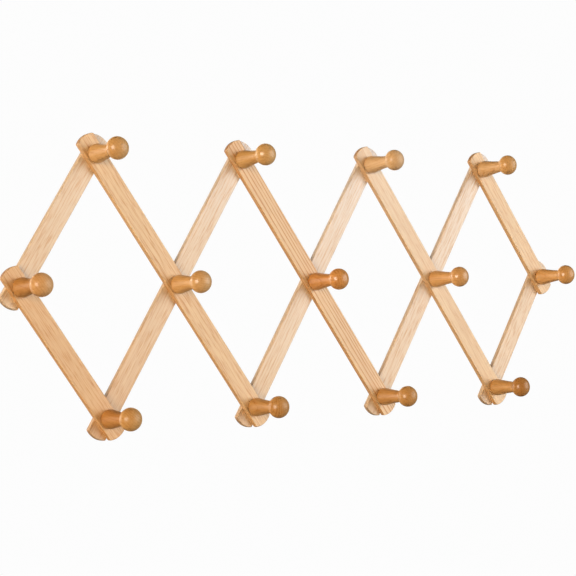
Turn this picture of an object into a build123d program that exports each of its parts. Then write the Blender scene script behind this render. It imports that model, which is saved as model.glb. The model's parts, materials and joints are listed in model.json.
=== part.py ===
from build123d import *
import os
from math import acos, cos, degrees, radians, sin, sqrt, tan

# Expanding wall rack: two layers of crossing slats, pinned together by a turned peg at every crossing.
# Millimetres and degrees. The backs of the rear slats lie in the plane Y = 0, against the wall.
# The pegs point to -Y, Z is up, and the origin is behind the centre peg.

# Lattice
peg_pitch = 175.0  # from one peg to the next, along a slat
lean_angle = 56.0  # slope of the slats above level, as the rack hangs opened
middle_pegs = 5  # pegs in the middle row; the top and bottom rows have one less

# Slats
slat_width = 24.0
slat_thickness = 6.3
slat_overhang = 23.75  # from an end peg's axis to the tip of the slat
slat_end_crown = 3.5  # how far the rounded end stands out past its corners
slat_corner_round = 2.0
slat_edge_round = 0.9
layer_play = 0.1  # between the rear layer and the front layer

# Blind holes in the back, for two pins in the wall
hang_hole_radius = 3.5
hang_hole_depth = 4.0
hang_hole_drop = 30.0  # from the outer top pegs, down along their rear slats

# Pegs, turned about their own axis; heights are from the seat on the front slat
seat_play = 0.1
seat_radius = 9.3
belly_radius = 10.75
belly_height = 5.5
belly_ease = 1.5  # straight lead of the taper at the belly
neck_radius = 6.9
neck_height = 37.9
neck_ease = 11.4  # straight lead of the taper at the neck
neck_fillet = 0.8  # in the crease between the neck and the ball
ball_radius = 12.7
ball_half_length = 11.0  # the ball is a little flat along the peg

# Countersunk wood screws, driven from the back into the pegs
screw_length = 32.0
head_radius = 4.0
head_angle = 90.0
head_sink = 0.5  # how far the head lies below the back of the rear slat
recess_length = 4.4
recess_width = 1.1
recess_depth = 1.3
shank_radius = 2.0
thread_radius = 1.8
point_length = 4.0
pivot_clearance = 0.08  # radial, around the shank and the head
thread_clearance = 0.02  # radial, around the thread in the peg
pilot_spare = 1.5  # depth of the peg's hole past the screw's point

# Sizes that follow: the lattice's half column and row, and depths in front of the wall
half_column = peg_pitch * cos(radians(lean_angle))
row_height = peg_pitch * sin(radians(lean_angle))
front_layer_depth = slat_thickness + layer_play
slats_depth = front_layer_depth + slat_thickness
seat_depth = slats_depth + seat_play
bore_radius = shank_radius + pivot_clearance
head_slope = tan(radians(head_angle / 2))
sink_radius = head_radius + head_sink * head_slope + pivot_clearance

from_behind = (180, 0, 0)  # turns a hole to be drilled from the back
quarter_round = 4 / 3 * (sqrt(2) - 1)  # handle of a curve that draws a quarter of an ellipse

os.makedirs("parts", exist_ok=True)


def write(piece, label):
    """Name a finished piece and write it to its own file."""
    piece.part.label = label
    export_step(piece.part, f"parts/{label}.step")


def slat_plane(column, rising_angle, back_depth):
    """The back of a slat: origin on its middle crossing, X up along the slat, Z to the front."""
    uphill = (cos(radians(rising_angle)), 0, sin(radians(rising_angle)))
    return Plane(origin=(column * half_column, -back_depth, 0), x_dir=uphill, z_dir=(0, -1, 0))


def slat(label, plane, crossings, sunk, hang_places=()):
    """A slat with crowned ends and eased edges, bored at its crossings and sunk for the screw heads."""
    corner = slat_width / 2
    low_tip = crossings[0] - slat_overhang
    high_tip = crossings[-1] + slat_overhang
    with BuildPart() as board:
        with BuildSketch(plane) as outline:
            with BuildLine():
                left = Line((low_tip + slat_end_crown, corner), (high_tip - slat_end_crown, corner))
                high = ThreePointArc(left @ 1, (high_tip, 0), (high_tip - slat_end_crown, -corner))
                right = Line(high @ 1, (low_tip + slat_end_crown, -corner))
                ThreePointArc(right @ 1, (low_tip, 0), left @ 0)
            make_face()
            fillet(outline.vertices(), slat_corner_round)
        extrude(amount=slat_thickness)
        fillet(board.faces().filter_by(Axis.Y).edges(), slat_edge_round)
        with Locations(*[plane * Location((place, 0, 0), from_behind) for place in crossings]):
            if sunk:
                CounterSinkHole(bore_radius, sink_radius, counter_sink_angle=head_angle)
            else:
                Hole(bore_radius)
        for place in hang_places:
            with Locations(plane * Location((place, 0, 0), from_behind)):
                Hole(hang_hole_radius, hang_hole_depth)
    write(board, label)


def turning_plane(x, z, depth):
    """A half-section plane through a peg's axis: X across the peg, Y along it, away from the wall."""
    return Plane(origin=(x, -depth, z), x_dir=(1, 0, 0), z_dir=(0, 0, -1))


def turned_peg(name, x, z):
    """A peg: rounded seat, belly, long taper to the neck, and a ball, drilled for its screw."""
    join_angle = degrees(acos(neck_radius / ball_radius))
    ball_height = neck_height + ball_half_length * sin(radians(join_angle))
    with BuildPart() as peg:
        with BuildSketch(turning_plane(x, z, seat_depth)):
            with BuildLine():
                Line((0, 0), (seat_radius, 0))
                EllipticalCenterArc(
                    (seat_radius, belly_height), belly_radius - seat_radius, belly_height, 270
                )
                Bezier(
                    (belly_radius, belly_height),
                    (belly_radius, belly_height + belly_ease),
                    (neck_radius, neck_height - neck_ease),
                    (neck_radius, neck_height),
                )
                EllipticalCenterArc(
                    (0, ball_height), ball_radius, ball_half_length, -join_angle, arc_size=join_angle
                )
                dome = Bezier(
                    (ball_radius, ball_height),
                    (ball_radius, ball_height + quarter_round * ball_half_length),
                    (quarter_round * ball_radius, ball_height + ball_half_length),
                    (0, ball_height + ball_half_length),
                )
                Line(dome @ 1, (0, 0))
            make_face()
        revolve(axis=Axis((x, 0, z), (0, 1, 0)))
        crease = peg.edges().filter_by(GeomType.CIRCLE).filter_by_position(
            Axis.Y, -seat_depth - neck_height - neck_fillet, -seat_depth - neck_height + neck_fillet
        )
        fillet(crease, neck_fillet)
        with Locations(Plane(origin=(x, -seat_depth, z), x_dir=(1, 0, 0), z_dir=(0, 1, 0))):
            Hole(thread_radius + thread_clearance, head_sink + screw_length + pilot_spare - seat_depth)
    write(peg, f"peg_{name}")


def wood_screw(name, x, z):
    """A screw: sunk flat head with a cross recess, plain shank through both slats, thread and point."""
    head_run = (head_radius - shank_radius) / head_slope
    tip = head_sink + screw_length
    with BuildPart() as screw:
        with BuildSketch(turning_plane(x, z, 0)):
            with BuildLine():
                Polyline(
                    (0, head_sink),
                    (head_radius, head_sink),
                    (shank_radius, head_sink + head_run),
                    (shank_radius, slats_depth),
                    (thread_radius, slats_depth),
                    (thread_radius, tip - point_length),
                    (0, tip),
                    close=True,
                )
            make_face()
        revolve(axis=Axis((x, 0, z), (0, 1, 0)))
        with BuildSketch(Plane(origin=(x, -head_sink, z), x_dir=(1, 0, 0), z_dir=(0, 1, 0))):
            Rectangle(recess_length, recess_width)
            Rectangle(recess_width, recess_length)
        extrude(amount=-recess_depth, mode=Mode.SUBTRACT)
    write(screw, f"screw_{name}")


# The slats, from left to right, each with its middle crossing in its own column
last = middle_pegs - 1
below = [-peg_pitch]
above = [peg_pitch]
for index in range(middle_pegs):
    column = 2 * index - last
    front_plane = slat_plane(column, 180 - lean_angle, front_layer_depth)
    front_crossings = below * (index < last) + [0] + above * (index > 0)
    slat(f"front_slat_{index + 1}", front_plane, front_crossings, sunk=False)
    rear_plane = slat_plane(column, lean_angle, 0)
    rear_crossings = below * (index > 0) + [0] + above * (index < last)
    hang_places = [peg_pitch - hang_hole_drop] * (index in (0, last - 1))
    slat(f"rear_slat_{index + 1}", rear_plane, rear_crossings, True, hang_places)

# The pegs and their screws, row by row from left to right
for row, height, count in (
    ("top", row_height, last),
    ("middle", 0, middle_pegs),
    ("bottom", -row_height, last),
):
    for index in range(count):
        across = (2 * index - count + 1) * half_column
        turned_peg(f"{row}_{index + 1}", across, height)
        wood_screw(f"{row}_{index + 1}", across, height)
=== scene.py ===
"""An expanding wall rack in pale ash with honey-coloured turned pegs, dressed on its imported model."""

import json
import math
import random

import bmesh
import bpy
from bpy.props import FloatProperty, FloatVectorProperty, PointerProperty
from mathutils import Matrix, Vector

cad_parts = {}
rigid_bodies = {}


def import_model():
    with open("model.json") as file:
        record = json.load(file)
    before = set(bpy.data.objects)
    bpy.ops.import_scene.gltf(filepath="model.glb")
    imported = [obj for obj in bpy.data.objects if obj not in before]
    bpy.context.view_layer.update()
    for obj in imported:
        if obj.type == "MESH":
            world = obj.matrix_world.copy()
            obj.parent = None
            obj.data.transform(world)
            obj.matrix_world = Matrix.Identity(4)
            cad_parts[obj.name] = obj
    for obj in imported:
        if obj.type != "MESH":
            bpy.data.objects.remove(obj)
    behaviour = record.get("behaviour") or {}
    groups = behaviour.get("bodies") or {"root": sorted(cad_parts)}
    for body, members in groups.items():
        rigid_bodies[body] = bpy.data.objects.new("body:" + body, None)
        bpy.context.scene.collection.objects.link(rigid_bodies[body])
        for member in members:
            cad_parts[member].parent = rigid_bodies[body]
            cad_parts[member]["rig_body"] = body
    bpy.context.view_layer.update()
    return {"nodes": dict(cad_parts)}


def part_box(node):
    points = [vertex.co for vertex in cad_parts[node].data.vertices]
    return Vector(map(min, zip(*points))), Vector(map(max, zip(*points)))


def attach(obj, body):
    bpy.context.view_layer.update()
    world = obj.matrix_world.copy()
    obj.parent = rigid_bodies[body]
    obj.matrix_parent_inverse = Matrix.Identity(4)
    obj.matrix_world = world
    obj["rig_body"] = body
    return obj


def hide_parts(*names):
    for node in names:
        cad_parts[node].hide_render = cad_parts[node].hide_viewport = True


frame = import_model()

bl_info = {
    "name": "Expanding Peg Rack",
    "version": (1, 0, 0),
    "blender": (4, 5, 0),
    "location": "3D View > Sidebar > Peg Rack",
    "description": "Slats, turned pegs, screws and a studio for an expanding wall rack",
    "category": "Object",
}

MM = 0.001

QUARTER = math.pi / 2

# Straight steps that stand for a curve on the meshes
EDGE_STEPS = 6
CORNER_STEPS = 6
CROWN_STEPS = 24
BELLY_STEPS = 10
TAPER_STEPS = 32
FILLET_STEPS = 6
BALL_STEPS = 36
HOLE_SIDES = 40
PEG_SIDES = 80
FLOOR_SIDES = 96

TOUCH_ROUNDS = 50  # halvings that find where the neck's fillet touches the ball
ON_AXIS = 0.001 * MM  # radius under which a ring of a peg is a single point
FACE_WEIGHT = 80  # how far large faces keep the normals flat beside rounded edges

# Where a piece lay in its log: how far along, and how far a peg lay from the pith
LOG_LENGTH = 20.0
PEG_PITH_NEAR = 16 * MM
PEG_PITH_FAR = 40 * MM
PEG_RING_WIDTH = 2.6 * MM

END_GRAIN_REACH = 1.4  # from a slat's tip to where end grain has faded out, in lengths of its rounded end
PEG_FOOT_SHADE = 3 * MM  # height above the seat where the painted contact shade at a peg's foot has faded out
PEG_BLEND = 1.5 * MM  # just below the neck, where the shaft's look turns into the ball's

# Waves per metre of each feature: of the wood, along the log and across it, and of the screws' plating
WAVES = {
    "drift": (4, 26, 26),
    "ripple": (30, 110, 110),
    "uneven rings": (1.5, 130, 130),
    "broken rings": (60, 600, 600),
    "flecks": (55, 720, 720),
    "streaks": (6, 380, 380),
    "fibres": (30, 2400, 2400),
    "pores": (80, 2000, 2000),
    "blotches": (9, 60, 60),
    "wear and sheen patches": (35, 120, 120),
    "end rays": (900, 900, 900),
    "dull plating": (260, 260, 260),
    "brushed plating": (300, 300, 5200),
}
RING_DRIFT = 6 * MM  # how far growth rings wander, from side to side
FLECK_RIPPLE = 1.2 * MM  # how far flecks waver besides
PLAIN_LINE = 0.1  # share of the late wood's colour between the marks

# Each board, from left to right: strengths of its growth rings and of its flecks, width of its rings in
# millimetres, turn of its pith from level in degrees, distance of its pith in millimetres, and tones at its
# foot and head from deep (-1) to pale (1)
FRONT_BOARDS = (
    (0.8, 1.0, 3.4, 30, 60, -0.55, -0.55),
    (0.8, 1.0, 3.0, 55, 45, -0.15, -0.2),
    (4.2, 0.4, 3.0, 30, 16, -0.15, -0.3),
    (0.7, 0.5, 3.2, 70, 60, -0.05, 0.35),
    (0.8, 0.9, 3.6, 40, 70, 0.0, 0.0),
)
# Painted light: the rear slats' heads are paler than their feet, partly standing in for light that is
# brighter towards the upper right
REAR_BOARDS = (
    (0.8, 1.1, 3.4, 20, 70, 0.1, 0.3),
    (0.9, 1.1, 3.2, 35, 80, -0.8, 1.0),
    (0.9, 0.9, 3.8, 15, 60, -0.2, 1.2),
    (0.9, 1.3, 3.4, 50, 70, 0.0, 0.95),
    (0.9, 1.3, 3.6, 25, 80, 0.1, 0.1),
)

# Each row of pegs, from left to right: strength of the grain, then the looks of the shaft and of the ball,
# which are tone from deep (-1) to pale (1), warmth from golden (-1) to red (1), and gloss of the lacquer
PEG_WOODS = {
    "top": (
        (0.6, (0.15, 0.05, 0.4), (0.15, 0.05, 0.5)),
        (0.7, (-0.2, -0.2, 0.5), (0.2, -0.2, 0.65)),
        (0.5, (1.0, 0.3, 0.25), (1.0, 0.3, 0.3)),
        (0.9, (0.6, 0.2, 0.7), (0.1, 0.2, 0.4)),
    ),
    "middle": (
        (0.7, (-0.62, 0.45, 0.0), (0.5, 0.55, 0.3)),
        (0.7, (-0.1, 0.1, 0.4), (0.3, 0.1, 0.6)),
        (1.0, (-0.25, 0.8, 0.75), (0.0, 0.8, 0.8)),
        (0.8, (0.05, 0.3, 0.7), (0.24, 0.3, 0.85)),
        (0.6, (0.1, 0.3, 0.7), (-0.1, 0.3, 0.6)),
    ),
    # Painted shade: this row's deeper tones partly stand in for less light reaching the lowest row
    "bottom": (
        (0.9, (-0.7, 0.55, 0.0), (-0.2, 0.1, 0.3)),
        (1.0, (-0.6, 0.1, 0.3), (-0.5, 0.1, 0.4)),
        (0.9, (-0.5, 0.1, 0.8), (-0.45, 0.1, 0.45)),
        (0.9, (-0.3, 0.1, 0.4), (-0.9, 0.05, 0.5)),
    ),
}

# The studio: each softbox with its place, its width and height, its power in watts, its colour, and the kind
# of surface that doesn't see it; then the floor, the surround and the camera's sensor
SOFTBOXES = (
    ("right", (4.32, -4.17, 0.5), (5.6, 5.0), 370, (1.0, 0.965, 0.9), None),
    ("behind", (-3.21, 3.83, 0.3), (4.0, 4.0), 95, (1.0, 0.95, 0.88), None),
    ("back", (0.9, 5.1, 0.6), (6.8, 5.6), 245, (1.0, 0.9, 0.76), None),
    ("left_warm", (-4.94, -2.41, 0.4), (4.2, 3.2), 300, (1.0, 0.7, 0.37), "glossy"),
    ("left_shine", (-4.86, -2.58, 0.35), (3.2, 2.4), 370, (1.0, 0.93, 0.82), "diffuse"),
    ("behind_glint", (-2.72, 4.19, 0.8), (1.0, 1.0), 30, (1.0, 0.95, 0.86), "diffuse"),
)
FLOOR_RADIUS = 40.0
FLOOR_COLOUR = (0.2, 0.19, 0.18, 1)
SKY_LIGHT = (0.05, 0.035, 0.02, 1)
SEEN_WHITE = 0.98  # what the camera sees round the rack
SENSOR_WIDTH = 36.0  # in millimetres


class PegRackSizes(bpy.types.PropertyGroup):
    """Sizes of the slats and pegs."""

    slat_width: FloatProperty(
        name="Slat width", description="Across a slat", default=24 * MM, unit="LENGTH"
    )
    slat_overhang: FloatProperty(
        name="Slat overhang", description="From an end peg's axis to the tip",
        default=23.75 * MM, unit="LENGTH",
    )
    end_crown: FloatProperty(
        name="End crown", description="How far a rounded end stands out", default=3.5 * MM, unit="LENGTH"
    )
    corner_round: FloatProperty(
        name="Corner round", description="Radius of a slat's corners", default=2 * MM, unit="LENGTH"
    )
    edge_round: FloatProperty(
        name="Edge round", description="Radius along a slat's edges", default=0.9 * MM, unit="LENGTH"
    )
    bore_radius: FloatProperty(
        name="Bore radius", description="Screw's hole through a slat", default=2.08 * MM, unit="LENGTH"
    )
    sink_radius: FloatProperty(
        name="Sink radius", description="Screw head's seat in a rear slat", default=4.58 * MM, unit="LENGTH"
    )
    hang_radius: FloatProperty(
        name="Hanging hole radius", description="Blind hole for a pin", default=3.5 * MM, unit="LENGTH"
    )
    hang_depth: FloatProperty(
        name="Hanging hole depth", description="Depth from the back", default=4 * MM, unit="LENGTH"
    )
    hang_drop: FloatProperty(
        name="Hanging hole drop", description="Below the outer top pegs", default=30 * MM, unit="LENGTH"
    )
    seat_radius: FloatProperty(
        name="Peg seat radius", description="Flat foot of a peg", default=9.3 * MM, unit="LENGTH"
    )
    belly_radius: FloatProperty(
        name="Peg belly radius", description="Widest part of the shaft", default=10.75 * MM, unit="LENGTH"
    )
    belly_height: FloatProperty(
        name="Peg belly height", description="Belly above the seat", default=5.5 * MM, unit="LENGTH"
    )
    belly_ease: FloatProperty(
        name="Belly ease", description="Straight lead of the taper", default=1.5 * MM, unit="LENGTH"
    )
    neck_radius: FloatProperty(
        name="Peg neck radius", description="Narrowest part", default=6.9 * MM, unit="LENGTH"
    )
    neck_height: FloatProperty(
        name="Peg neck height", description="Neck above the seat", default=37.9 * MM, unit="LENGTH"
    )
    neck_ease: FloatProperty(
        name="Neck ease", description="Straight run into the neck", default=11.4 * MM, unit="LENGTH"
    )
    neck_fillet: FloatProperty(
        name="Neck fillet", description="Radius in the crease", default=0.8 * MM, unit="LENGTH"
    )
    ball_radius: FloatProperty(
        name="Ball radius", description="Across the ball", default=12.7 * MM, unit="LENGTH"
    )
    ball_half_length: FloatProperty(
        name="Ball half length", description="Along the peg", default=11 * MM, unit="LENGTH"
    )
    pilot_radius: FloatProperty(
        name="Pilot radius", description="Screw's hole in a peg", default=1.82 * MM, unit="LENGTH"
    )
    pilot_depth: FloatProperty(
        name="Pilot depth", description="Depth of that hole", default=21.2 * MM, unit="LENGTH"
    )


class PegRackFinish(bpy.types.PropertyGroup):
    """Colours of the woods and the steel, and the painted light on the slat walls."""

    front_pale: FloatVectorProperty(
        name="Front slat wood", description="Early wood", default=(0.772, 0.597, 0.393), subtype="COLOR"
    )
    front_line: FloatVectorProperty(
        name="Front slat lines", description="Late wood", default=(0.558, 0.289, 0.111), subtype="COLOR"
    )
    rear_pale: FloatVectorProperty(
        name="Rear slat wood", description="Early wood", default=(0.78, 0.647, 0.509), subtype="COLOR"
    )
    rear_line: FloatVectorProperty(
        name="Rear slat lines", description="Late wood", default=(0.614, 0.378, 0.199), subtype="COLOR"
    )
    cream: FloatVectorProperty(
        name="Cream", description="Wood of the palest slats", default=(0.83, 0.79, 0.79), subtype="COLOR"
    )
    # Painted light: tints above 1 that make the sawn walls paler, standing in for light from the left and
    # from behind
    front_wall: FloatVectorProperty(
        name="Front slat wall light", description="Painted light on the sawn walls",
        default=(1.2, 1.18, 1.15), subtype="COLOR",
    )
    rear_wall: FloatVectorProperty(
        name="Rear slat wall light", description="Painted light on the sawn walls",
        default=(1.2, 1.3, 1.42), subtype="COLOR",
    )
    peg_pale: FloatVectorProperty(
        name="Peg wood", description="Lacquered honey wood", default=(0.71, 0.48, 0.24), subtype="COLOR"
    )
    peg_line: FloatVectorProperty(
        name="Peg lines", description="Late wood", default=(0.52, 0.27, 0.09), subtype="COLOR"
    )
    steel: FloatVectorProperty(
        name="Screw steel", description="Zinc plate", default=(0.34, 0.335, 0.325), subtype="COLOR"
    )


class PegRackStudio(bpy.types.PropertyGroup):
    """Camera and floor."""

    camera_place: FloatVectorProperty(
        name="Camera", description="Where it stands", default=(-1.0954, -1.4197, -0.0762), subtype="XYZ"
    )
    camera_yaw: FloatProperty(
        name="Yaw", description="Turn to the right", default=math.radians(36.864), subtype="ANGLE"
    )
    camera_pitch: FloatProperty(
        name="Pitch", description="Tilt upwards", default=math.radians(2.257), subtype="ANGLE"
    )
    camera_roll: FloatProperty(
        name="Roll", description="Turn about its axis", default=math.radians(-3.038), subtype="ANGLE"
    )
    camera_lens: FloatProperty(
        name="Lens", description="Focal length", default=92.08, unit="CAMERA"
    )
    floor_drop: FloatProperty(
        name="Floor", description="Below the rack's centre", default=1.6, unit="LENGTH"
    )


def piece_object(name, node, mesh, material):
    """An object that stands for a node of the model and rides on its body."""
    mesh.materials.append(material)
    piece = bpy.data.objects.new(name, mesh)
    bpy.context.scene.collection.objects.link(piece)
    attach(piece, frame["nodes"][node]["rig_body"])
    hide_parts(node)
    return piece


def weighted_normals(piece):
    """Keeps flat faces flat beside rounded edges."""
    normals = piece.modifiers.new("weighted normals", "WEIGHTED_NORMAL")
    normals.keep_sharp = True
    normals.weight = FACE_WEIGHT


def peg_axis(name):
    """Where a peg's axis meets the wall."""
    low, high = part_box(f"peg_{name}")
    return Vector(((low.x + high.x) / 2, 0, (low.z + high.z) / 2))


def middle_pegs():
    """How many pegs the middle row has."""
    return sum(name.startswith("peg_middle_") for name in frame["nodes"])


def clamped(value):
    """A share held between 0 and 1."""
    return max(0.0, min(1.0, value))


def arc(centre, radii, start, end, steps):
    """Points on the arc of a circle or an ellipse, with both its ends."""
    points = []
    for step in range(steps + 1):
        angle = start + (end - start) * step / steps
        points.append((centre[0] + radii[0] * math.cos(angle), centre[1] + radii[1] * math.sin(angle)))
    return points


def circle(place, radius):
    """Points round a hole on a slat's centre line."""
    return arc((place, 0), (radius, radius), 0, 2 * math.pi, HOLE_SIDES)[:-1]


def slat_outline(low_tip, high_tip, inset, sizes):
    """Points round a slat, anticlockwise seen from the front, drawn in from its full outline."""
    half = sizes.slat_width / 2
    crown = sizes.end_crown
    corner = sizes.corner_round
    end_radius = (crown ** 2 + half ** 2) / (2 * crown)
    reach = math.sqrt((end_radius - corner) ** 2 - (half - corner) ** 2)
    meeting = math.atan2(half - corner, reach)
    corner_radii = (corner - inset, corner - inset)
    crown_radii = (end_radius - inset, end_radius - inset)
    end = arc((reach, corner - half), corner_radii, -QUARTER, -meeting, CORNER_STEPS)
    end += arc((0, 0), crown_radii, -meeting, meeting, CROWN_STEPS)[1:-1]
    end += arc((reach, half - corner), corner_radii, meeting, QUARTER, CORNER_STEPS)
    points = []
    for tip, way in ((high_tip, 1), (low_tip, -1)):
        centre = tip - way * end_radius
        points += [(centre + way * along, way * across) for along, across in end]
    return points


def wood_layers(bm):
    """What the wood's shader reads at each vertex: place in the log, cut, figure and shade."""
    layers = bm.verts.layers.float_vector
    return [layers.new(name) for name in ("log_place", "cut", "figure", "shade")]


def loop_edges(bm, verts):
    """Edges round a closed ring."""
    edges = []
    for index, vert in enumerate(verts):
        pair = (vert, verts[(index + 1) % len(verts)])
        edges.append(bm.edges.get(pair) or bm.edges.new(pair))
    return edges


def bridge(bm, rings):
    """Faces from each ring to the next, where a ring may be a single point."""
    for lower, upper in zip(rings, rings[1:]):
        count = max(len(lower), len(upper))
        for index in range(count):
            after = (index + 1) % count
            corners = [lower[index % len(lower)], lower[after % len(lower)]]
            corners += [upper[after % len(upper)], upper[index % len(upper)]]
            bm.faces.new(list(dict.fromkeys(corners)))


def finished_mesh(name, bm, sharp_rings):
    """A smooth mesh of what was built, with hard edges round some rings."""
    for verts in sharp_rings:
        for edge in loop_edges(bm, verts):
            edge.smooth = False
    for face in bm.faces:
        face.smooth = True
    bmesh.ops.recalc_face_normals(bm, faces=bm.faces)
    mesh = bpy.data.meshes.new(name)
    bm.to_mesh(mesh)
    bm.free()
    return mesh


def slat_mesh(name, plane, thickness, crossings, hang_places, sunk, sizes, board):
    """A slat with eased edges and crowned ends, bored at its crossings."""
    ring_strength, fleck_strength, ring_width, pith_turn, pith_far, foot_tone, head_tone = board
    log_start = random.Random(name).uniform(0, LOG_LENGTH)
    pith_turn = math.radians(pith_turn)
    pith = Vector((math.cos(pith_turn), -math.sin(pith_turn))) * pith_far * MM
    low_tip = crossings[0] - sizes.slat_overhang
    high_tip = crossings[-1] + sizes.slat_overhang
    rounded_end = sizes.end_crown + sizes.corner_round
    bm = bmesh.new()
    log_place, cut, figure, shade = wood_layers(bm)

    def ring(points, height, edge=0.0, wall=0.0):
        """Vertices at one height above the back, with their place in the log."""
        verts = []
        for along, across in points:
            near_tip = min(along - low_tip, high_tip - along)
            end = wall * clamped(END_GRAIN_REACH - near_tip / rounded_end)
            rise = (along - low_tip) / (high_tip - low_tip)
            vert = bm.verts.new(plane @ Vector((along, across, height)))
            vert[log_place] = (along + log_start, across - pith.x, height - pith.y)
            # cut: edge share for wear and a painted highlight, end grain share, and wall share for the
            # painted light on the walls
            vert[cut] = (edge, end, wall)
            vert[figure] = (ring_strength, fleck_strength, ring_width * MM)
            # Tone from foot to head; on the rear slats the rise is partly painted light
            vert[shade] = (foot_tone + (head_tone - foot_tone) * rise, 0.0, 0.0)
            verts.append(vert)
        return verts

    # Rings from the back face's rim, round its edge, up the wall and over to the front face's rim
    turns = [QUARTER * step / EDGE_STEPS for step in range(EDGE_STEPS + 1)]
    levels = [(turn, sizes.edge_round * (1 - math.cos(turn))) for turn in turns]
    levels += [(turn, thickness - lift) for turn, lift in reversed(levels)]
    rings = []
    for turn, height in levels:
        outline = slat_outline(low_tip, high_tip, sizes.edge_round * (1 - math.sin(turn)), sizes)
        rings.append(ring(outline, height, math.sin(2 * turn), math.sin(turn)))
    bridge(bm, rings)

    # Holes, each a stack of rings from the back to the front; a sink's side slopes at 45 degrees
    bore_levels = [(sizes.bore_radius, 0.0), (sizes.bore_radius, thickness)]
    if sunk:
        bore_levels[0] = (sizes.bore_radius, sizes.sink_radius - sizes.bore_radius)
        bore_levels.insert(0, (sizes.sink_radius, 0.0))
    back_rims = [rings[0]]
    front_rims = [rings[-1]]
    sharp_rings = []
    for place in crossings:
        bore = [ring(circle(place, radius), height) for radius, height in bore_levels]
        bridge(bm, bore)
        back_rims.append(bore[0])
        front_rims.append(bore[-1])
        sharp_rings += bore
    for place in hang_places:
        pocket = [ring(circle(place, sizes.hang_radius), height) for height in (0.0, sizes.hang_depth)]
        bridge(bm, pocket)
        bm.faces.new(pocket[-1])
        back_rims.append(pocket[0])
        sharp_rings += pocket
    for rims in (back_rims, front_rims):
        edges = [edge for rim in rims for edge in loop_edges(bm, rim)]
        bmesh.ops.triangle_fill(bm, use_beauty=True, edges=edges)
    return finished_mesh(name, bm, sharp_rings)


def slat_plane(middle, toward, back):
    """From slat lengths to the world: X up along the slat, Z to the front, origin on the back."""
    uphill = (toward - middle).normalized()
    if uphill.z < 0:
        uphill.negate()
    front = Vector((0, -1, 0))
    across = front.cross(uphill)
    place = Vector((middle.x, back, middle.z))
    return Matrix.Translation(place) @ Matrix((uphill, across, front)).transposed().to_4x4()


def build_slats(layer, boards, scene):
    """All slats of one layer, from left to right."""
    sizes = scene.peg_rack_sizes
    material = slat_material(layer, scene.peg_rack_finish)
    rear = layer == "rear"
    count = middle_pegs()
    for number, board in enumerate(boards, 1):
        node = f"{layer}_slat_{number}"
        low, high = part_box(node)
        middle = peg_axis(f"middle_{number}")
        left, right = number - 1, number
        lower, upper = (left, right) if rear else (right, left)
        ends = []
        crossings = [0.0]
        if 1 <= lower < count:
            ends.append(peg_axis(f"bottom_{lower}"))
            crossings.insert(0, -(ends[-1] - middle).length)
        if 1 <= upper < count:
            ends.append(peg_axis(f"top_{upper}"))
            crossings.append((ends[-1] - middle).length)
        hang_places = []
        if rear and number in (1, count - 1):
            hang_places.append(crossings[-1] - sizes.hang_drop)
        plane = slat_plane(middle, ends[0], high.y)
        thickness = high.y - low.y
        mesh = slat_mesh(f"{node}_board", plane, thickness, crossings, hang_places, rear, sizes, board)
        weighted_normals(piece_object(f"{node}_board", node, mesh, material))


def cubic(start, first, second, end, share):
    """A point on a Bezier curve."""
    rest = 1 - share
    return (
        start * rest ** 3 + first * 3 * share * rest ** 2
        + second * 3 * share ** 2 * rest + end * share ** 3
    )


def peg_profile(sizes):
    """Half section of a peg as points (radius, height above the seat), from the hole to the tip."""
    ball_radius, half_length = sizes.ball_radius, sizes.ball_half_length
    join = math.acos(sizes.neck_radius / ball_radius)
    ball_height = sizes.neck_height + half_length * math.sin(join)

    def ball_point(angle):
        return Vector((ball_radius * math.cos(angle), ball_height + half_length * math.sin(angle)))

    def ball_normal(angle):
        return Vector((math.cos(angle) / ball_radius, math.sin(angle) / half_length)).normalized()

    # The crease's fillet touches the neck and the ball: find where on the ball
    fillet = sizes.neck_fillet
    low, high = -join, 0.0
    for _ in range(TOUCH_ROUNDS):
        angle = (low + high) / 2
        centre = ball_point(angle) + fillet * ball_normal(angle)
        if centre.x < sizes.neck_radius + fillet:
            low = angle
        else:
            high = angle
    touch = ball_normal(angle)
    fillet_end = math.atan2(-touch.y, -touch.x) - 2 * math.pi  # clockwise from the neck

    belly_curve = (sizes.belly_radius - sizes.seat_radius, sizes.belly_height)
    belly = Vector((sizes.belly_radius, sizes.belly_height))
    neck = Vector((sizes.neck_radius, centre.y))
    leaving = belly + Vector((0, sizes.belly_ease))
    arriving = neck - Vector((0, sizes.neck_ease))
    profile = [(0, sizes.pilot_depth), (sizes.pilot_radius, sizes.pilot_depth), (sizes.pilot_radius, 0)]
    profile += arc((sizes.seat_radius, sizes.belly_height), belly_curve, -QUARTER, 0, BELLY_STEPS)
    for step in range(1, TAPER_STEPS + 1):
        profile.append(cubic(belly, leaving, arriving, neck, step / TAPER_STEPS))
    profile += arc(centre, (fillet, fillet), -math.pi, fillet_end, FILLET_STEPS)[1:]
    profile += arc((0, ball_height), (ball_radius, half_length), angle, QUARTER, BALL_STEPS)[1:]
    return profile


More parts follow.
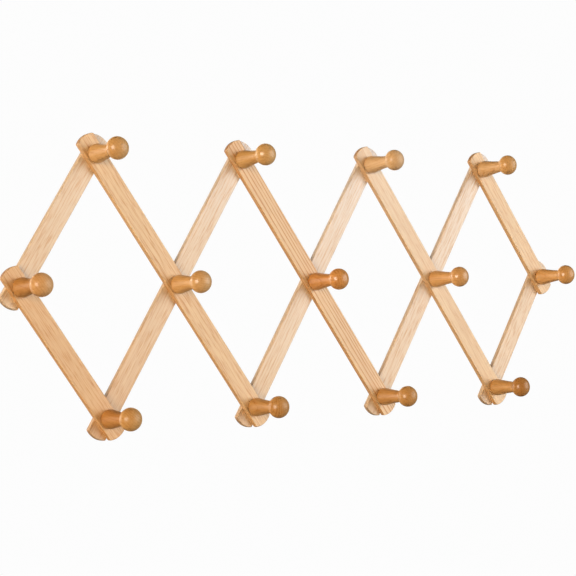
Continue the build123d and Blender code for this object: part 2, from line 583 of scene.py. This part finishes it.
def peg_mesh(name, profile, sizes, wood):
    """A peg turned about its own axis, with its tip on -Y and its seat at the origin."""
    grain, shaft_look, ball_look = wood
    chance = random.Random(name)
    log_start = chance.uniform(0, LOG_LENGTH)
    pith_turn = chance.uniform(0, 2 * math.pi)
    pith_far = chance.uniform(PEG_PITH_NEAR, PEG_PITH_FAR)
    pith = Vector((math.cos(pith_turn), math.sin(pith_turn))) * pith_far
    tip = profile[-1][1]
    blend_start = sizes.neck_height - PEG_BLEND
    bm = bmesh.new()
    log_place, cut, figure, shade = wood_layers(bm)

    def ring(radius, height):
        """Vertices round the peg at one height, or a single one on its axis."""
        end = clamped(1 - (tip - height) / sizes.ball_half_length)
        foot = clamped(1 - height / PEG_FOOT_SHADE)
        along = clamped((height - blend_start) / PEG_BLEND)
        verts = []
        for side in range(1 if radius < ON_AXIS else PEG_SIDES):
            turn = 2 * math.pi * side / PEG_SIDES
            x, z = radius * math.cos(turn), radius * math.sin(turn)
            vert = bm.verts.new((x, -height, z))
            vert[log_place] = (height + log_start, x - pith.x, z - pith.y)
            # foot: share of the painted contact shade where the peg meets the slat
            vert[cut] = (0.0, end, foot)
            vert[figure] = (grain, grain, PEG_RING_WIDTH)
            vert[shade] = Vector(shaft_look).lerp(Vector(ball_look), along)
            verts.append(vert)
        return verts

    rings = [ring(radius, height) for radius, height in profile]
    bridge(bm, rings)
    pilot_rims = rings[1:3]
    return finished_mesh(name, bm, pilot_rims)


def shader_node(tree, kind, inputs=None, **settings):
    """A shader node with its settings and the values of its inputs."""
    made = tree.nodes.new(f"ShaderNode{kind}")
    for key, value in settings.items():
        setattr(made, key, value)
    for key, value in (inputs or {}).items():
        if isinstance(value, bpy.types.NodeSocket):
            tree.links.new(value, made.inputs[key])
        else:
            made.inputs[key].default_value = value
    return made


def math_node(tree, operation, *values):
    """The result of one sum on numbers or sockets."""
    return shader_node(tree, "Math", dict(enumerate(values)), operation=operation).outputs[0]


def total(tree, *values):
    """Values added together."""
    result, *others = values
    for value in others:
        result = math_node(tree, "ADD", result, value)
    return result


def product(tree, *values):
    """Values multiplied together."""
    result, *others = values
    for value in others:
        result = math_node(tree, "MULTIPLY", result, value)
    return result


def vector_node(tree, operation, *values):
    """The result of one sum on vectors."""
    return shader_node(tree, "VectorMath", dict(enumerate(values)), operation=operation).outputs[0]


def noise(tree, place, waves, detail=2.0, roughness=0.5, output="Fac"):
    """A noise with so many waves per metre, about 0 to 1."""
    scaled = vector_node(tree, "MULTIPLY", place, waves)
    values = {"Vector": scaled, "Scale": 1.0, "Detail": detail, "Roughness": roughness}
    return shader_node(tree, "TexNoise", values, noise_dimensions="3D").outputs[output]


def swing(tree, *noise_values):
    """A noise that swings to both sides of 0."""
    return math_node(tree, "SUBTRACT", noise(tree, *noise_values), 0.5)


def wander(tree, place, waves, detail, reach):
    """A soft push across the log, from side to side."""
    push = noise(tree, place, waves, detail, output="Color")
    push = vector_node(tree, "SUBTRACT", push, (0.5, 0.5, 0.5))
    return vector_node(tree, "MULTIPLY", push, (0.0, reach, reach))


def ramp(tree, value, low, high, bottom=0.0, top=1.0):
    """A clamped straight ramp."""
    values = {"Value": value, "From Min": low, "From Max": high, "To Min": bottom, "To Max": top}
    return shader_node(tree, "MapRange", values, clamp=True).outputs[0]


def mix_colour(tree, share, first, second, kind="MIX"):
    """Two colours mixed by a share, which is held between 0 and 1."""
    settings = {"data_type": "RGBA", "blend_type": kind, "clamp_factor": True}
    return shader_node(tree, "Mix", {0: share, 6: first, 7: second}, **settings).outputs[2]


def new_group(name, inputs, outputs):
    """An empty shader node group with its sockets, and its two end nodes."""
    tree = bpy.data.node_groups.new(name, "ShaderNodeTree")
    for title, kind, default in inputs:
        socket = tree.interface.new_socket(title, in_out="INPUT", socket_type=f"NodeSocket{kind}")
        if default is not None:
            socket.default_value = default
    for title, kind in outputs:
        tree.interface.new_socket(title, in_out="OUTPUT", socket_type=f"NodeSocket{kind}")
    start = tree.nodes.new("NodeGroupInput")
    end = tree.nodes.new("NodeGroupOutput")
    return tree, start.outputs, end.inputs


def wood_figure():
    """Shader group: growth rings round the pith, broken flecks, long streaks, pores and slow blotches."""
    name = "wood figure"
    if name in bpy.data.node_groups:
        return bpy.data.node_groups[name]
    tree, given, result = new_group(
        name,
        (
            ("Log Place", "Vector", None),
            ("Figure", "Vector", None),
            ("Pale", "Color", (0.8, 0.6, 0.4, 1)),
            ("Line", "Color", (0.4, 0.2, 0.1, 1)),
            ("Rings", "Float", 0.6),
            ("Flecks", "Float", 0.4),
            ("Streaks", "Float", 0.4),
            ("Pores", "Float", 0.5),
            ("Blotches", "Float", 0.3),
        ),
        (("Color", "Color"), ("Height", "Float"), ("Open Grain", "Float")),
    )
    place = given["Log Place"]
    figure = shader_node(tree, "SeparateXYZ", {0: given["Figure"]}).outputs
    drift = wander(tree, place, WAVES["drift"], 2.0, RING_DRIFT)
    ripple = wander(tree, place, WAVES["ripple"], 1.0, FLECK_RIPPLE)
    wandering = vector_node(tree, "ADD", place, vector_node(tree, "ADD", drift, ripple))

    # Growth rings: a share of each ring's width is late wood, broken along the log
    across = vector_node(tree, "MULTIPLY", vector_node(tree, "ADD", place, drift), (0, 1, 1))
    radius = shader_node(tree, "VectorMath", {0: across}, operation="LENGTH").outputs["Value"]
    uneven = noise(tree, place, WAVES["uneven rings"], 1.0)
    rings = total(tree, math_node(tree, "DIVIDE", radius, figure["Z"]), product(tree, uneven, 0.7))
    share = math_node(tree, "FRACT", rings)
    late = product(tree, ramp(tree, share, 0.4, 0.88), ramp(tree, share, 1.0, 0.92))
    broken = ramp(tree, noise(tree, place, WAVES["broken rings"]), 0.36, 0.6, 0.35, 1.0)
    late = product(tree, math_node(tree, "POWER", late, 2.2), broken)

    # Finer marks, with the pores mostly in the early wood
    flecks = ramp(tree, noise(tree, wandering, WAVES["flecks"]), 0.50, 0.68)
    streaks = swing(tree, place, WAVES["streaks"], 4.0, 0.62)
    fibres = swing(tree, place, WAVES["fibres"])
    blotches = swing(tree, place, WAVES["blotches"])
    pores = ramp(tree, noise(tree, place, WAVES["pores"], 1.0), 0.62, 0.74)
    pores = product(tree, pores, ramp(tree, share, 0.55, 0.0, 0.25, 1.0))

    depth = total(
        tree,
        product(tree, late, given["Rings"], figure["X"]),
        product(tree, flecks, given["Flecks"], figure["Y"]),
        product(tree, streaks, given["Streaks"]),
        product(tree, fibres, given["Streaks"]),
        product(tree, pores, given["Pores"]),
        product(tree, blotches, given["Blotches"]),
        PLAIN_LINE,
    )
    height = total(tree, product(tree, late, 0.35), product(tree, fibres, 0.5))
    tree.links.new(mix_colour(tree, depth, given["Pale"], given["Line"]), result["Color"])
    tree.links.new(math_node(tree, "SUBTRACT", height, pores), result["Height"])
    tree.links.new(pores, result["Open Grain"])
    return tree


def cut_finish():
    """Shader group: each piece's own tone, painted light on slat walls and painted shade at peg feet, dark
    end grain, and rubbed edges that are partly wear and partly a painted highlight, over a colour.
    """
    name = "cut and rubbed finish"
    if name in bpy.data.node_groups:
        return bpy.data.node_groups[name]
    tree, given, result = new_group(
        name,
        (
            ("Color", "Color", (0.8, 0.6, 0.4, 1)),
            ("Log Place", "Vector", None),
            ("Cut", "Vector", None),
            ("Shade", "Vector", None),
            ("Pale Tone", "Color", (1, 0.9, 0.8, 1)),
            ("Deep Tone", "Color", (0.7, 0.6, 0.5, 1)),
            ("Red Tone", "Color", (1, 0.8, 0.6, 1)),
            ("Gold Tone", "Color", (0.95, 1, 0.8, 1)),
            ("Wall Tint", "Color", (0.8, 0.6, 0.4, 1)),
            ("End Grain", "Color", (0.5, 0.4, 0.3, 1)),
            ("Rubbed", "Color", (0.9, 0.7, 0.5, 1)),
            ("Edge Wear", "Float", 0.4),
        ),
        (("Color", "Color"), ("End", "Float")),
    )
    cut = shader_node(tree, "SeparateXYZ", {0: given["Cut"]}).outputs
    shade = shader_node(tree, "SeparateXYZ", {0: given["Shade"]}).outputs
    patches = noise(tree, given["Log Place"], WAVES["wear and sheen patches"], 3.0)
    rays = ramp(tree, noise(tree, given["Log Place"], WAVES["end rays"]), 0.3, 0.7, 0.6, 1.0)
    end = product(tree, cut["Y"], rays)
    colour = given["Color"]
    for amount, tint in (
        (shade["X"], "Pale Tone"),
        (product(tree, shade["X"], -1.0), "Deep Tone"),
        (shade["Y"], "Red Tone"),
        (product(tree, shade["Y"], -1.0), "Gold Tone"),
        # Painted light on the slat walls, painted contact shade at the peg feet
        (cut["Z"], "Wall Tint"),
        (end, "End Grain"),
    ):
        colour = mix_colour(tree, amount, colour, given[tint], "MULTIPLY")
    # Rubbed edges: partly real wear, partly a painted highlight along the eased edges
    wear_and_sheen = product(tree, cut["X"], ramp(tree, patches, 0.35, 0.65), given["Edge Wear"])
    tree.links.new(mix_colour(tree, wear_and_sheen, colour, given["Rubbed"]), result["Color"])
    tree.links.new(end, result["End"])
    return tree


def attribute(tree, name):
    """A vector kept on the mesh."""
    return shader_node(tree, "Attribute", attribute_name=name).outputs["Vector"]


def place_group(tree, group, inputs):
    """A group node with its values and links."""
    return shader_node(tree, "Group", inputs, node_tree=group).outputs


def new_material(name):
    """A material with its Principled shader."""
    material = bpy.data.materials.new(name)
    material.use_nodes = True
    return material, material.node_tree, material.node_tree.nodes["Principled BSDF"]


def wood_material(name, figure, finish, shine, relief):
    """A lacquered wood from the two shared groups, with its own values."""
    material, tree, shader = new_material(name)
    log_place = attribute(tree, "log_place")
    grain_inputs = {"Log Place": log_place, "Figure": attribute(tree, "figure"), **figure}
    grain = place_group(tree, wood_figure(), grain_inputs)
    surface_inputs = {
        "Color": grain["Color"],
        "Log Place": log_place,
        "Cut": attribute(tree, "cut"),
        "Shade": attribute(tree, "shade"),
        **finish,
    }
    surface = place_group(tree, cut_finish(), surface_inputs)
    tree.links.new(surface["Color"], shader.inputs["Base Color"])
    smooth, rough = shine
    dull = total(tree, product(tree, grain["Open Grain"], 0.5), surface["End"])
    tree.links.new(ramp(tree, dull, 0.0, 1.0, smooth, rough), shader.inputs["Roughness"])
    bump = shader_node(tree, "Bump", {"Strength": 0.35, "Distance": relief, "Height": grain["Height"]})
    tree.links.new(bump.outputs["Normal"], shader.inputs["Normal"])
    return material, tree, shader


def rgba(colour, scale=1.0):
    """A colour property as four numbers, made lighter or darker."""
    return (*(channel * scale for channel in colour), 1.0)


def tint_between(colour, wanted):
    """The tint that turns one colour into another."""
    return (*(end / start for start, end in zip(colour, wanted)), 1.0)


def slat_material(layer, finish):
    """Pale ash under a thin satin lacquer, its sawn walls made paler than its faces by painted light, and a
    painted highlight along its rubbed edges.
    """
    pale = getattr(finish, f"{layer}_pale")
    line = getattr(finish, f"{layer}_line")
    wall = getattr(finish, f"{layer}_wall")
    material, _, shader = wood_material(
        f"{layer} slat wood",
        {
            "Pale": rgba(pale),
            "Line": rgba(line),
            "Rings": 0.5,
            "Flecks": 0.55,
            "Streaks": 0.75,
            "Pores": 0.5,
            "Blotches": 0.5,
        },
        {
            "Pale Tone": tint_between(pale, finish.cream),
            "Deep Tone": (0.92, 0.78, 0.62, 1),
            # Painted light that makes the sawn walls paler than the faces
            "Wall Tint": rgba(wall),
            "End Grain": (0.45, 0.33, 0.24, 1),
            # Rubbed edges: partly real wear, partly a painted highlight along the eased edges
            "Rubbed": rgba(pale, 1.14),
            "Edge Wear": 0.8,
        },
        shine=(0.42, 0.7),
        relief=0.06 * MM,
    )
    shader.inputs["Coat Weight"].default_value = 0.1
    shader.inputs["Coat Roughness"].default_value = 0.3
    return material


def peg_material(finish):
    """Turned honey wood under a glossier lacquer, with painted shade at the foot where it meets the slat."""
    material, tree, shader = wood_material(
        "peg wood",
        {
            "Pale": rgba(finish.peg_pale),
            "Line": rgba(finish.peg_line),
            "Rings": 0.7,
            "Flecks": 0.4,
            "Streaks": 0.9,
            "Pores": 0.3,
            "Blotches": 0.7,
        },
        {
            "Pale Tone": (1.08, 1.28, 1.85, 1),
            "Deep Tone": (0.66, 0.53, 0.36, 1),
            "Red Tone": (1.0, 0.8, 0.62, 1),
            "Gold Tone": (0.95, 1.0, 0.85, 1),
            # Painted shade: darkens the foot where the peg meets the slat
            "Wall Tint": (0.55, 0.45, 0.35, 1),
            "End Grain": (0.82, 0.78, 0.72, 1),
            "Rubbed": rgba(finish.peg_pale, 1.1),
            "Edge Wear": 0.3,
        },
        shine=(0.36, 0.5),
        relief=0.04 * MM,
    )
    gloss = shader_node(tree, "SeparateXYZ", {0: attribute(tree, "shade")}).outputs["Z"]
    tree.links.new(gloss, shader.inputs["Coat Weight"])
    shader.inputs["Coat Roughness"].default_value = 0.24
    shader.inputs["Coat Tint"].default_value = (1.0, 0.92, 0.8, 1)
    shader.inputs["Specular IOR Level"].default_value = 0.12
    return material


def steel_material(finish):
    """Zinc-plated steel with a faint brushed grain and dull patches."""
    material, tree, shader = new_material("screw steel")
    place = shader_node(tree, "TexCoord").outputs["Object"]
    patches = noise(tree, place, WAVES["dull plating"], 4.0, 0.6)
    scratches = noise(tree, place, WAVES["brushed plating"])
    dark = rgba(finish.steel, 0.62)
    colour = mix_colour(tree, ramp(tree, patches, 0.35, 0.7), rgba(finish.steel), dark)
    tree.links.new(colour, shader.inputs["Base Color"])
    dull = total(tree, product(tree, scratches, 0.3), product(tree, patches, 0.4))
    tree.links.new(ramp(tree, dull, 0.15, 0.6, 0.22, 0.5), shader.inputs["Roughness"])
    shader.inputs["Metallic"].default_value = 1.0
    bump = shader_node(tree, "Bump", {"Strength": 0.3, "Distance": 0.02 * MM, "Height": scratches})
    tree.links.new(bump.outputs["Normal"], shader.inputs["Normal"])
    return material


def add_floor(scene):
    """A wide floor well below the rack, dull to the lamps and white to the camera."""
    bm = bmesh.new()
    bmesh.ops.create_circle(bm, cap_ends=True, radius=FLOOR_RADIUS, segments=FLOOR_SIDES)
    mesh = bpy.data.meshes.new("studio_floor")
    bm.to_mesh(mesh)
    bm.free()
    material, tree, shader = new_material("studio floor")
    shader.inputs["Base Color"].default_value = FLOOR_COLOUR
    shader.inputs["Roughness"].default_value = 0.9
    shader.inputs["Specular IOR Level"].default_value = 0.0
    glow = shader_node(tree, "Emission", {"Color": (1, 1, 1, 1), "Strength": SEEN_WHITE})
    seen = shader_node(tree, "LightPath").outputs["Is Camera Ray"]
    mixed = shader_node(tree, "MixShader", {0: seen, 1: shader.outputs[0], 2: glow.outputs[0]})
    tree.links.new(mixed.outputs[0], tree.nodes["Material Output"].inputs["Surface"])
    mesh.materials.append(material)
    floor = bpy.data.objects.new("studio_floor", mesh)
    floor.location.z = -scene.peg_rack_studio.floor_drop
    scene.collection.objects.link(floor)


def add_sky(scene):
    """A surround that is white to the camera and gives a faint warm light."""
    world = bpy.data.worlds.new("studio white")
    world.use_nodes = True
    tree = world.node_tree
    seen = shader_node(tree, "LightPath").outputs["Is Camera Ray"]
    colour = mix_colour(tree, seen, SKY_LIGHT, (SEEN_WHITE, SEEN_WHITE, SEEN_WHITE, 1))
    tree.links.new(colour, tree.nodes["Background"].inputs["Color"])
    scene.world = world
    scene.view_settings.view_transform = "Standard"


def add_softbox(scene, name, place, size, power, colour, unseen_by):
    """A rectangular area light that faces the rack's centre."""
    light = bpy.data.lights.new(f"{name} softbox", "AREA")
    light.shape = "RECTANGLE"
    light.size, light.size_y = size
    light.energy = power
    light.color = colour
    lamp = bpy.data.objects.new(f"{name}_softbox", light)
    lamp.location = place
    lamp.rotation_euler = (-Vector(place)).to_track_quat("-Z", "Y").to_euler()
    if unseen_by:
        setattr(lamp, f"visible_{unseen_by}", False)
    scene.collection.objects.link(lamp)


def add_camera(scene):
    """The camera at the photograph's place, a little low and to the left."""
    studio = scene.peg_rack_studio
    data = bpy.data.cameras.new("camera")
    data.lens = studio.camera_lens
    data.sensor_width = SENSOR_WIDTH
    camera = bpy.data.objects.new("camera", data)
    turn = Matrix.Rotation(-studio.camera_yaw, 4, "Z")
    tilt = Matrix.Rotation(QUARTER + studio.camera_pitch, 4, "X")
    roll = Matrix.Rotation(studio.camera_roll, 4, "Z")
    camera.matrix_world = Matrix.Translation(studio.camera_place) @ turn @ tilt @ roll
    scene.collection.objects.link(camera)
    scene.camera = camera


class PEGRACK_OT_front_slats(bpy.types.Operator):
    """Build the front slats, which lean to the left"""

    bl_idname = "pegrack.front_slats"
    bl_label = "Front slats"

    def execute(self, context):
        build_slats("front", FRONT_BOARDS, context.scene)
        return {"FINISHED"}


class PEGRACK_OT_rear_slats(bpy.types.Operator):
    """Build the rear slats, which lean to the right and hold the screw heads"""

    bl_idname = "pegrack.rear_slats"
    bl_label = "Rear slats"

    def execute(self, context):
        build_slats("rear", REAR_BOARDS, context.scene)
        return {"FINISHED"}


class PEGRACK_OT_pegs(bpy.types.Operator):
    """Turn a peg for every crossing"""

    bl_idname = "pegrack.pegs"
    bl_label = "Pegs"

    def execute(self, context):
        scene = context.scene
        sizes = scene.peg_rack_sizes
        material = peg_material(scene.peg_rack_finish)
        profile = peg_profile(sizes)
        for name in sorted(frame["nodes"]):
            if not name.startswith("peg_"):
                continue
            row, number = name.split("_")[1:]
            mesh = peg_mesh(f"{name}_turned", profile, sizes, PEG_WOODS[row][int(number) - 1])
            axis = peg_axis(f"{row}_{number}")
            mesh.transform(Matrix.Translation((axis.x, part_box(name)[1].y, axis.z)))
            piece_object(f"{name}_turned", name, mesh, material)
        return {"FINISHED"}


class PEGRACK_OT_screws(bpy.types.Operator):
    """Plate the screws"""

    bl_idname = "pegrack.screws"
    bl_label = "Screws"

    def execute(self, context):
        material = steel_material(context.scene.peg_rack_finish)
        for name, screw in frame["nodes"].items():
            if name.startswith("screw_"):
                screw.data.materials.clear()
                screw.data.materials.append(material)
        return {"FINISHED"}


class PEGRACK_OT_studio(bpy.types.Operator):
    """Set up the floor, the soft lights and the camera"""

    bl_idname = "pegrack.studio"
    bl_label = "Studio"

    def execute(self, context):
        add_floor(context.scene)
        add_sky(context.scene)
        for softbox in SOFTBOXES:
            add_softbox(context.scene, *softbox)
        add_camera(context.scene)
        return {"FINISHED"}


BUILD_ORDER = (
    PEGRACK_OT_front_slats,
    PEGRACK_OT_rear_slats,
    PEGRACK_OT_pegs,
    PEGRACK_OT_screws,
    PEGRACK_OT_studio,
)


class PEGRACK_PT_panel(bpy.types.Panel):
    """Buttons for each group of pieces, and the values that they use"""

    bl_idname = "PEGRACK_PT_panel"
    bl_label = "Peg Rack"
    bl_space_type = "VIEW_3D"
    bl_region_type = "UI"
    bl_category = "Peg Rack"

    def draw(self, context):
        for operator in BUILD_ORDER:
            self.layout.operator(operator.bl_idname)
        for group in ("sizes", "finish", "studio"):
            values = getattr(context.scene, f"peg_rack_{group}")
            box = self.layout.box()
            box.label(text=group.capitalize())
            for name in values.bl_rna.properties.keys():
                if name not in ("rna_type", "name"):
                    box.prop(values, name)


CLASSES = (PegRackSizes, PegRackFinish, PegRackStudio, *BUILD_ORDER, PEGRACK_PT_panel)


def register():
    """Add the classes, and their values to the scene."""
    for made in CLASSES:
        bpy.utils.register_class(made)
    bpy.types.Scene.peg_rack_sizes = PointerProperty(type=PegRackSizes)
    bpy.types.Scene.peg_rack_finish = PointerProperty(type=PegRackFinish)
    bpy.types.Scene.peg_rack_studio = PointerProperty(type=PegRackStudio)


def unregister():
    """Take away what was registered."""
    del bpy.types.Scene.peg_rack_studio
    del bpy.types.Scene.peg_rack_finish
    del bpy.types.Scene.peg_rack_sizes
    for made in reversed(CLASSES):
        bpy.utils.unregister_class(made)


def main():
    """Build the rack and its studio."""
    register()
    bpy.ops.pegrack.front_slats()
    bpy.ops.pegrack.rear_slats()
    bpy.ops.pegrack.pegs()
    bpy.ops.pegrack.screws()
    bpy.ops.pegrack.studio()


if __name__ == "__main__":
    main()
